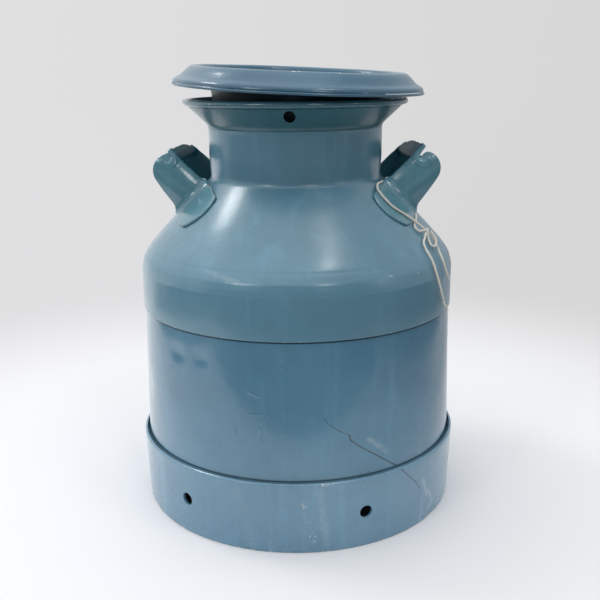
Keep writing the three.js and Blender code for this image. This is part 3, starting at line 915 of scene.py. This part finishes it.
def body_shell():
    line = densify(list(BODY_LINE), 4)
    points, faces = turned(sheet_of(line, 1.3), 288)
    points = swelled(points, 0.14 * (1 + ripple(points, 90, 2)))
    for dent in (
        (-45.0, 188.0, 0.9, 9, 7), (-34.0, 189.0, 0.8, 8, 6), (30.0, 122.0, 0.6, 16, 12),
        (-72.0, 130.0, 0.8, 14, 18), (98.0, 150.0, 1.6, 24, 18), (168.0, 140.0, 2.0, 22, 26),
        (-142.0, 175.0, 1.5, 18, 14), (62.0, 165.0, 0.6, 16, 22),
    ):
        points = pressed(points, *dent)
    shell = place("shell_of_body", points, faces)
    return dress(shell, "can", ["body_shell"], "enamel", BODY_PAINT)


def bottom_head():
    edge = 164.9
    line = densify(
        [(0.001, 69.0), (82.4, 67.8), (148.0, 64.9)]
        + arc(edge - 5, 59.5, 5.0, 80, 0, 6) + [(edge, 52)], 9)
    outline = [(0, 69.0)] + line[1:] + offset(line, -1.3)[::-1][:-1] + [(0, 67.7)]
    points, faces = turned(outline, 192)
    return dress(place("head_of_bottom", points, faces), "can", ["bottom_head"], "tinned", TINNED)


def hoop_solder():
    points, faces = turned(rounded(
        [(167.3, 58), (167.8, 58), (168.1, 73.4), (167.3, 75.8)], [0.1, 0.1, 0.2, 0.2], 2), 288)
    points[:, 2] += 0.25 * ripple(points, 14, 4) - 0.25
    return dress(place("solder_of_hoop", points, faces), "can", ["hoop_solder"], "solder",
                 SOLDER_PAINT)


def breast_and_neck():
    fillet = (89.9 + 11, CONE_MEETS_NECK + 11 * math.tan(SLOPE / 2))
    line = (
        [(164.9, 213.4), (164.9, 233)]
        + arc(129.6, 253.1, 35.3, 0, 44, 18)
        + densify([KNUCKLE_END, (fillet[0] + 11 * cos(radians(224)),
                                 fillet[1] + 11 * sin(radians(224)))], 6)[1:-1]
        + arc(fillet[0], fillet[1], 11, 224, 180, 8)
        + densify([(89.9, fillet[1]), (89.9, 396)], 6)[1:]
    )
    points, faces = turned(sheet_of(line, 1.3), 288)
    points = swelled(points, 0.10 * (1 + ripple(points, 80, 5)))
    # The spun cone is a little crowned between its two bends.
    middle = np.clip((points[:, 2] - 309.5) / 34.0, -1.6, 1.6)
    ends = np.where(np.abs(middle) < 1, middle**2, np.maximum(0, 2 - np.abs(middle)) ** 2 / 1.0)
    points = swelled(points, 1.7 * ends * (np.abs(middle) < 1.6) - 0.2 * (np.abs(middle) < 1))
    points = swelled(points, -0.3 * np.exp(-(((points[:, 2] - 266.0) / 1.9) ** 2)))
    for dent in (
        (-52.0, 258.0, 0.5, 12, 10), (44.0, 262.0, 0.7, 13, 10), (150.0, 285.0, 1.2, 20, 16),
        (-115.0, 268.0, 1.0, 16, 12), (35.0, 235.0, 0.6, 14, 12),
        (9.0, 280.0, -0.85, 24, 12), (-34.0, 309.0, -0.95, 28, 18),
    ):
        points = pressed(points, *dent)
    piece = place("breast_and_neck", points, faces)
    return dress(piece, "can", ["breast", "neck"], "enamel", BREAST_PAINT)


def mouth_bowl():
    flare = [(90.05, 396.9), (90.6, 398.4), (91.7, 400.0), (93.6, 402.0), (97.6, 405.8),
             (103.8, 411.5), (110.4, 417.4)]
    under = offset([(88.3, 384), (88.3, 395.4)] + flare[1:], 1.3)[::-1]
    outline = [(88.3, 384), (88.3, 396.04), (89.86, 396.04)] + flare + under
    bowl = place("bowl_of_mouth", *turned(outline, 256))
    cut(bowl, [rod("seal_cutter", -2.7, 410.4, 5.6, 84, 122, 24)])
    return dress(bowl, "can", ["mouth_bowl"], "enamel_deep", BOWL_PAINT_AND_SHADE)


def mouth_bead():
    points, faces = turned(arc(112.4, 421.3, 3.3, 0, 345, 23), 256)
    points[:, 2] += 0.12 * ripple(points, 60, 6) * 0.6
    return dress(place("bead_of_mouth", points, faces), "can", ["mouth_bead"], "enamel",
                 BEAD_PAINT_AND_SHADE)


for make in (base_hoop, body_shell, bottom_head, hoop_solder, breast_and_neck, mouth_bowl,
             mouth_bead):
    make()


# ---- handles -------------------------------------------------------------------------
# Each handle is one continuous shell of sheet, found as the zero of a distance field in
# the handle's own frame: w down the breast, t along the grip, u away from the breast.
HANDLE_Z = CONE_MEETS_NECK - 0.75
GRID = 0.62


def polygon(px, py, points):
    """Signed distance to a polygon, negative inside."""
    best = np.full(px.shape, 1e9)
    inside = np.zeros(px.shape, dtype=bool)
    for (x0, y0), (x1, y1) in zip(points, points[1:] + points[:1]):
        ex, ey = x1 - x0, y1 - y0
        t = np.clip(((px - x0) * ex + (py - y0) * ey) / (ex * ex + ey * ey + 1e-12), 0, 1)
        best = np.minimum(best, (px - x0 - ex * t) ** 2 + (py - y0 - ey * t) ** 2)
        if abs(ey) > 1e-12:
            crosses = ((y0 > py) != (y1 > py)) & (px < x0 + ex * (py - y0) / ey)
            inside ^= crosses
    return np.where(inside, -1, 1) * np.sqrt(best)


def melt(a, b, k):
    """Union with a fillet of about k."""
    h = np.clip(0.5 + 0.5 * (b - a) / k, 0, 1)
    return b + (a - b) * h - k * h * (1 - h)


def both(a, b, k):
    """Intersection with its edge eased by about k."""
    return -melt(-a, -b, k)


def polygonise(field, low, pitch):
    """Surface nets: points and faces of the field's zero, with the inside negative."""
    inside = field < 0
    shape = tuple(s - 1 for s in field.shape)
    corners = [(i, j, k) for i in (0, 1) for j in (0, 1) for k in (0, 1)]

    def at(array, i, j, k):
        return array[i:i + shape[0], j:j + shape[1], k:k + shape[2]]

    held = sum(at(inside, *c).astype(np.int8) for c in corners)
    active = (held > 0) & (held < 8)
    cells = np.argwhere(active)
    index = np.full(shape, -1, dtype=np.int64)
    index[active] = np.arange(len(cells))
    total = np.zeros((len(cells), 3))
    found = np.zeros(len(cells))
    for a in corners:
        for axis in range(3):
            if a[axis]:
                continue
            b = list(a)
            b[axis] = 1
            fa = at(field, *a)[active]
            fb = at(field, *b)[active]
            change = (fa < 0) != (fb < 0)
            t = fa[change] / (fa[change] - fb[change])
            spot = np.tile(np.array(a, float), (change.sum(), 1))
            spot[:, axis] += t
            total[change] += spot
            found[change] += 1
    points = (cells + total / found[:, None]) * pitch + low
    faces = []
    for axis in range(3):
        u, v = (axis + 1) % 3, (axis + 2) % 3
        ahead = [slice(None)] * 3
        back = [slice(None)] * 3
        ahead[axis], back[axis] = slice(1, None), slice(None, -1)
        fa, fb = inside[tuple(back)], inside[tuple(ahead)]
        where = np.argwhere(fa != fb)
        ok = (where[:, u] > 0) & (where[:, v] > 0)
        ok &= (where[:, u] < shape[u]) & (where[:, v] < shape[v])
        where = where[ok]
        flip = fb[tuple(where.T)]
        quads = []
        for du, dv in ((-1, -1), (0, -1), (0, 0), (-1, 0)):
            spot = where.copy()
            spot[:, u] += du
            spot[:, v] += dv
            quads.append(index[tuple(spot.T)])
        quads = np.stack(quads, 1)
        quads[flip] = quads[flip][:, ::-1]
        faces.append(quads)
    return points, np.vstack(faces)


def sampled(field, low, pitch, points):
    """The field at any points, between its samples."""
    where = (points - low) / pitch
    base = np.clip(np.floor(where).astype(int), 0, np.array(field.shape) - 2)
    part = where - base
    value = 0
    for i in (0, 1):
        for j in (0, 1):
            for k in (0, 1):
                weight = (
                    (part[:, 0] if i else 1 - part[:, 0])
                    * (part[:, 1] if j else 1 - part[:, 1])
                    * (part[:, 2] if k else 1 - part[:, 2])
                )
                value = value + weight * field[base[:, 0] + i, base[:, 1] + j, base[:, 2] + k]
    return value


def eased(points, faces, field, low, pitch, rounds=3):
    """Evens the mesh out and keeps it on the field's zero."""
    for _ in range(rounds):
        total = np.zeros_like(points)
        count = np.zeros(len(points))
        for k in range(4):
            a, b = faces[:, k], faces[:, (k + 1) % 4]
            np.add.at(total, a, points[b])
            np.add.at(count, a, 1)
        points = 0.45 * points + 0.55 * total / count[:, None]
        h = 0.4 * pitch
        slope = np.stack([
            sampled(field, low, pitch, points + h * np.eye(3)[i])
            - sampled(field, low, pitch, points - h * np.eye(3)[i]) for i in range(3)
        ], 1) / (2 * h)
        size = np.maximum((slope**2).sum(1), 0.15)
        here = sampled(field, low, pitch, points)
        move = np.clip(here / size, -pitch, pitch)
        points = points - slope * move[:, None]
    return points


def ear_edge(ear, reach):
    return arc(reach - 18, ear - 18, 18, 112, 12, 14) + [
        (reach + 2.5, 22), (reach + 5.3, 8), (46, -16)]


def leg_outlines(tip, ear, reach, slit, depth):
    front = [
        (0, -16), (0, tip), (1.2, tip), (slit, tip - depth), (slit + 0.9, tip - depth),
        (slit + 1.0, ear - 6), (slit + 2.2, ear - 3),
    ] + ear_edge(ear, reach)
    rear = [
        (0, -16), (0, tip - 24), (1, tip - 15), (2.4, tip - 8), (4.2, tip - 3.6),
    ] + ear_edge(ear, reach)
    return front, rear


def handle(name, node, azimuth, yaw, front_side, tip, ear, reach, slit, depth):
    a = radians(azimuth)
    out = np.array([sin(a), -cos(a), 0.0])
    up = np.array([0.0, 0.0, 1.0])
    away = out * cos(SLOPE) + up * sin(SLOPE)
    down = out * sin(SLOPE) - up * cos(SLOPE)
    along = np.cross(away, down)
    origin = out * cone_radius(HANDLE_Z) + up * HANDLE_Z
    pivot = np.array([0.0, 48.0 * front_side, 0.0])
    c, s = cos(radians(yaw)), sin(radians(yaw))
    turn = np.array([[c, -s, 0], [s, c, 0], [0, 0, 1]])

    low = np.array([-13.0, -92.0, -40.0])
    high = np.array([52.0, 92.0, 56.0])
    counts = np.ceil((high - low) / GRID).astype(int) + 1
    w, t, u = (low[i] + GRID * np.arange(counts[i]) for i in range(3))
    wt = np.meshgrid(w, t, indexing="ij")
    wu = np.meshgrid(w, u, indexing="ij")
    tu = np.meshgrid(t, u, indexing="ij")

    # Where each sample lies against the breast.
    local = np.stack(np.meshgrid(w, t, u, indexing="ij"), -1)
    turned_local = (local - pivot) @ turn.T + pivot
    world = origin + turned_local @ np.stack([down, along, away])
    r = np.hypot(world[..., 0], world[..., 1])
    z = world[..., 2]
    cone = (r - cone_radius(z)) * cos(SLOPE)
    breast = melt(cone, r - 89.9, 3.4)
    del local, turned_local, world

    # Legs: sheet bowed across its width, cut to the outline of its side.
    sheet = 2.2
    bow = (21**2 + 6**2) / 12
    centre = 51 - bow
    outer = arc(21, centre, bow, 131, 49, 16)
    inner = arc(21, centre, bow - sheet, 49, 131, 16)
    front, rear = leg_outlines(tip, ear, reach, slit, depth)
    solid = None
    for side in (-1, 1):
        plan = [(x, side * y) for x, y in outer + inner]
        outline = front if side == front_side else rear
        flat = polygon(*wt, plan)
        bent = np.empty((len(w), len(t), len(u)))
        across = 1.3 * np.minimum(1.4, np.abs(w - 21) / 18)[:, None] ** 2
        for k, height in enumerate(u):
            lean = side * (across + 1.7 * min(1.3, abs(height - 24) / 25) ** 2)
            at = (t[None, :] + lean - t[0]) / GRID
            i = np.clip(np.floor(at).astype(int), 0, len(t) - 2)
            part = np.clip(at - i, 0, 1)
            low_side = np.take_along_axis(flat, i, axis=1)
            bent[:, :, k] = low_side * (1 - part) + np.take_along_axis(flat, i + 1, axis=1) * part
        leg = both(bent, polygon(*wu, outline)[:, None, :], 1.0)
        solid = leg if solid is None else np.minimum(solid, leg)

    # Grip: a channel between the legs, its inner wall cut down towards the rear leg.
    section = (
        [(0, tip + 1)] + arc(8, 40, 8, 180, 360, 20) + [(16, 43), (13.8, 43)]
        + arc(8, 40, 5.8, 360, 180, 20) + [(2.2, tip + 1)]
    )
    field = arc(21, centre, bow - 1.5, 131, 49, 16)
    field += [(x, -y) for x, y in field[::-1]]
    grip = both(polygon(*wu, section)[:, None, :], polygon(*wt, field)[:, :, None], 0.8)
    edge = [(-65, -5), (-65, tip - 4), (-48.5, tip - 1), (-44, tip), (-20, tip + 0.9)]
    edge += [
        (4 + 43 * cos(radians(90 - 5.5 * i)), tip - 30 + 31 * sin(radians(90 - 5.5 * i)))
        for i in range(13)
    ]
    edge += [(65, tip - 17), (65, -5)]
    if front_side > 0:
        edge = [(-x, y) for x, y in edge][::-1]
    spare = np.maximum(
        (np.abs(w + 0.6) - 3.5)[:, None, None], -polygon(*tu, edge)[None, :, :]
    )
    grip = both(grip, -spare, 0.8)
    solid = melt(solid, grip, 4.5)

    # Feet: sheet lying on the breast, drawn up into the legs.
    lift = 0.3
    shell = np.abs(cone - lift - 1.1) - 1.1
    foot = [(0, -40.5), (0, -44), (-5, -56), (-6, -76)] + arc(20, -50, 37, 225, 298, 14)
    foot += [(41.5, -74), (44, -60), (43.5, -40.5)]
    feet = None
    for side in (-1, 1):
        plan = [(x, -side * y) for x, y in foot]
        part = both(polygon(*wt, plan)[:, :, None], shell, 1.0)
        feet = part if feet is None else np.minimum(feet, part)
    solid = melt(solid, feet, 10.0)
    solid = both(solid, lift - breast, 0.5)

    points, faces = polygonise(solid, low, GRID)
    points = eased(points, faces, solid, low, GRID)
    middle = points[faces].mean(axis=1)
    face_way = np.cross(
        points[faces[:, 2]] - points[faces[:, 0]], points[faces[:, 3]] - points[faces[:, 1]]
    )
    face_way /= np.linalg.norm(face_way, axis=1, keepdims=True) + 1e-12
    points = ((points - pivot) @ turn.T + pivot) @ np.stack([down, along, away]) + origin
    piece = place(name, points, faces, smooth=60)
    dress(piece, "can", [node], "enamel", HANDLE_PAINT, HANDLE_INSIDE_SHADE)
    # The hollow side of the shell gets a dull, near-black teal paint, which is painted shade.
    inner = arc(21, centre, bow - 1.2, 180, 0, 60)
    limit = np.interp(middle[:, 0], [p[0] for p in inner], [p[1] for p in inner])
    hollow = (np.abs(middle[:, 1]) < limit - 0.2) & (middle[:, 2] > 1.5)
    hollow &= (middle[:, 0] > 0.9) | (face_way[:, 0] < -0.75)
    hollow &= np.sign(middle[:, 1]) * face_way[:, 1] < 0.3
    piece.data.polygons.foreach_set("material_index", hollow.astype(np.int32))
    repair(piece)
    return piece


handle("handle_on_left", "handle_left", -96, -1.5, 1, 44.6, 47.8, 33, 2.6, 7.6)
handle("handle_on_right", "handle_right", 94.5, 0, -1, 49, 50.3, 34.5, 5.4, 12.6)


# ---- lid -----------------------------------------------------------------------------
def lid_cover():
    line = (
        densify([(0.001, 4.6), (84, 5.0)], 7) + [(91, 5.6)] + arc(92.6, 12.2, 6.4, 285, 345, 7)
        + [(100.5, 13.2), (102, 16.6)] + arc(107.0, 14.7, 5.4, 150, 62, 9)
        + [(111.6, 18.4), (115.5, 14.6), (119.8, 10.4), (121.6, 9.2), (123.6, 8.3)]
        + arc(122.6, 3.0, 5.1, 68, 0, 6)
    )
    under = offset(line, -1.5)[::-1]
    outline = [(0, 4.6)] + line[1:] + under[:-1] + [(0, 3.1)]
    points, faces = turned(outline, 288)
    points[:, 2] += 0.18 * ripple(points, 70, 8) - 0.1
    cover = place("cover_of_lid", points, faces, matrix=LID_AT)
    cut(cover, [rod("lid_slot", -92, 12.6, 4.6, 90, 150, 32, matrix=LID_AT)])
    return dress(cover, "lid", ["lid_cover"], "lid_enamel", LID_PAINT_AND_SHADE)


def lid_hem():
    points, faces = turned(arc(127.5, 1.2, 1.3, 0, 340, 17), 288)
    points[:, 2] += 0.12 * ripple(points, 50, 9)
    return dress(place("hem_of_lid", points, faces, matrix=LID_AT), "lid", ["lid_hem"],
                 "lid_enamel", LID_PAINT_AND_SHADE)


def lid_plug():
    line = [(0.001, -42), (77, -42)] + arc(77.5, -35.5, 6.5, 275, 350, 7) + [
        (84.4, -30), (87.4, -14), (90.2, 2.6)]
    line = densify(line, 8)
    inside = offset(line, 1.5)[::-1]
    outline = [(0, -42.0)] + line[1:] + inside[:-1] + [(0, -40.5)]
    return dress(place("plug_of_lid", *turned(outline, 224), matrix=LID_AT), "lid",
                 ["lid_plug"], "enamel_deep", PLUG_SHADE_PAINT)


for make in (lid_cover, lid_hem, lid_plug):
    make()


# ---- studio --------------------------------------------------------------------------
def backdrop_glow(g, place_, gain):
    """The backdrop's glow by direction, with painted light: a little brighter to the left."""
    x = g.split(g.vector("NORMALIZE", place_))[0]
    side = g.step(x, -0.4, 0.4)
    tone = g.mix(side, (0.745, 0.745, 0.757), (0.68, 0.68, 0.682))
    return g.mix(1.0, tone, (gain, gain, gain), "MULTIPLY")


def make_world():
    world = bpy.data.worlds.new("studio")
    world.use_nodes = True
    scene.world = world
    g = Graph.__new__(Graph)
    g.tree = world.node_tree
    g.tree.nodes.clear()
    g.output = g.tree.nodes.new("ShaderNodeOutputWorld")
    way = g.node("ShaderNodeTexCoord").outputs["Generated"]
    x, y, z = g.split(way)
    flat = g.math("SQRT", g.math("ADD", g.math("MULTIPLY", x, x), g.math("MULTIPLY", y, y)))
    toward = g.math("DIVIDE", g.math("MULTIPLY", y, -1.0), g.math("MAXIMUM", flat, 0.001))
    dark = g.math("MULTIPLY", g.step(toward, 0.25, 0.6), g.step(z, 0.75, 0.45))
    wall = g.mix(g.step(x, -0.2, 0.5), (0.84, 0.85, 0.87), (0.45, 0.46, 0.48))
    ceiling = g.mix(g.step(x, -0.1, 0.6), (1.06, 1.07, 1.09), (0.62, 0.63, 0.65))
    room = g.mix(g.step(z, 0.15, 0.6), wall, ceiling)
    room = g.mix(g.step(z, 0.88, 0.985), room, (1.45, 1.46, 1.48))
    room = g.mix(dark, room, (0.10, 0.105, 0.115))
    seen = g.node("ShaderNodeLightPath").outputs["Is Camera Ray"]
    both_ways = g.mix(seen, room, backdrop_glow(g, way, 1.0))
    shader = g.node("ShaderNodeBackground", {"Color": both_ways, "Strength": 1.0})
    g.finish_world = g.tree.links.new(shader.outputs[0], g.output.inputs["Surface"])


def make_floor():
    g = Graph("floor_paper")
    here = g.here()
    x, y, z = g.split(here)
    r = g.vector("LENGTH", here, out=1)
    # Painted light: the floor is a little paler to the right, where less light falls.
    tone = g.mix(g.step(x, -0.35, 0.45), (0.9, 0.895, 0.905), (0.93, 0.925, 0.93))
    tone = g.mix(g.math("MULTIPLY", g.step(g.noise(here, 3.0, 3.0), 0.3, 0.7), 0.3), tone,
                 (0.88, 0.88, 0.89))
    cloth = g.node("ShaderNodeBsdfPrincipled", {
        "Base Color": tone, "Roughness": 0.85, "Specular IOR Level": 0.2,
        "Normal": g.node("ShaderNodeBump", {
            "Strength": 0.15, "Distance": MM, "Height": g.noise(here, 500.0, 3.0)}).outputs[0],
    }).outputs[0]
    # Painted light: seen by the camera, the floor fades from 0.35 m out into a glow in the
    # backdrop's colour.
    glow = g.node("ShaderNodeEmission", {"Color": backdrop_glow(g, here, 1.0)}).outputs[0]
    pale = g.node("ShaderNodeMixShader", {0: g.step(r, 0.35, 0.95), 1: cloth, 2: glow}).outputs[0]
    # Painted reflection: to all other rays the floor glows dark grey beyond the paper's front and
    # side edges.
    night = g.node("ShaderNodeEmission", {
        "Color": g.mix(g.step(y, -1.1, -1.3), (0.045, 0.05, 0.055), (0.34, 0.35, 0.37))}).outputs[0]
    near = g.step(y, 0.5, 0.35)
    beyond = g.union([
        g.step(y, -0.435, -0.485), g.math("MULTIPLY", near, g.step(x, -0.70, -0.80)),
        g.math("MULTIPLY", near, g.step(x, 0.62, 0.74)),
    ])
    # Painted light: to all other rays the floor glows from 0.3 m out, bright to the left and dim to
    # the right.
    lit = g.mix(g.step(x, -0.1, 0.6), (1.06, 1.06, 1.08), (0.44, 0.44, 0.46))
    paper_glow = g.node("ShaderNodeEmission", {"Color": lit}).outputs[0]
    sheet = g.node("ShaderNodeMixShader", {0: g.step(r, 0.19, 0.3), 1: cloth, 2: paper_glow})
    unseen = g.node(
        "ShaderNodeMixShader", {0: beyond, 1: sheet.outputs[0], 2: night}
    ).outputs[0]
    seen = g.node("ShaderNodeLightPath").outputs["Is Camera Ray"]
    g.finish(g.node("ShaderNodeMixShader", {0: seen, 1: unseen, 2: pale}).outputs[0])
    n = 64
    rings = (0.0, 400.0, 1500.0, 12000.0)
    points, faces = [(0, 0, 0)], []
    for ring in rings[1:]:
        points += [(ring * cos(2 * pi * k / n), ring * sin(2 * pi * k / n), 0) for k in range(n)]
    faces += [(0, 1 + k, 1 + (k + 1) % n) for k in range(n)]
    for level in range(len(rings) - 2):
        a, b = 1 + level * n, 1 + (level + 1) * n
        faces += [(a + k, b + k, b + (k + 1) % n, a + (k + 1) % n) for k in range(n)]
    floor = place("floor", points, faces)
    floor.data.materials.append(g.material)


def lamp(name, azimuth, elevation, distance, width, height, radiance, tint=(1, 1, 1), at=0.28):
    a, e = radians(azimuth), radians(elevation)
    way = Vector((sin(a) * cos(e), -cos(a) * cos(e), sin(e)))
    data = bpy.data.lights.new(name, "AREA")
    data.shape = "RECTANGLE"
    data.size, data.size_y = width, height
    data.energy = radiance * pi * width * height
    data.color = tint
    made = bpy.data.objects.new(name, data)
    spot = Vector((0, 0, at)) + way * distance
    made.matrix_world = Matrix.Translation(spot) @ way.to_track_quat("Z", "Y").to_matrix().to_4x4()
    scene.collection.objects.link(made)


make_world()
make_floor()
lamp("left_key", -112, 50, 1.5, 0.42, 0.24, 12.0)
lamp("overhead", 43, 62, 1.5, 0.30, 0.18, 11.0)
lamp("front_left", -40, 28, 1.9, 0.42, 0.36, 8.0)
lamp("front_right", 21, 28, 1.9, 0.30, 0.36, 8.0)
lamp("right_side", 60, 17, 1.9, 0.20, 0.26, 4.0)
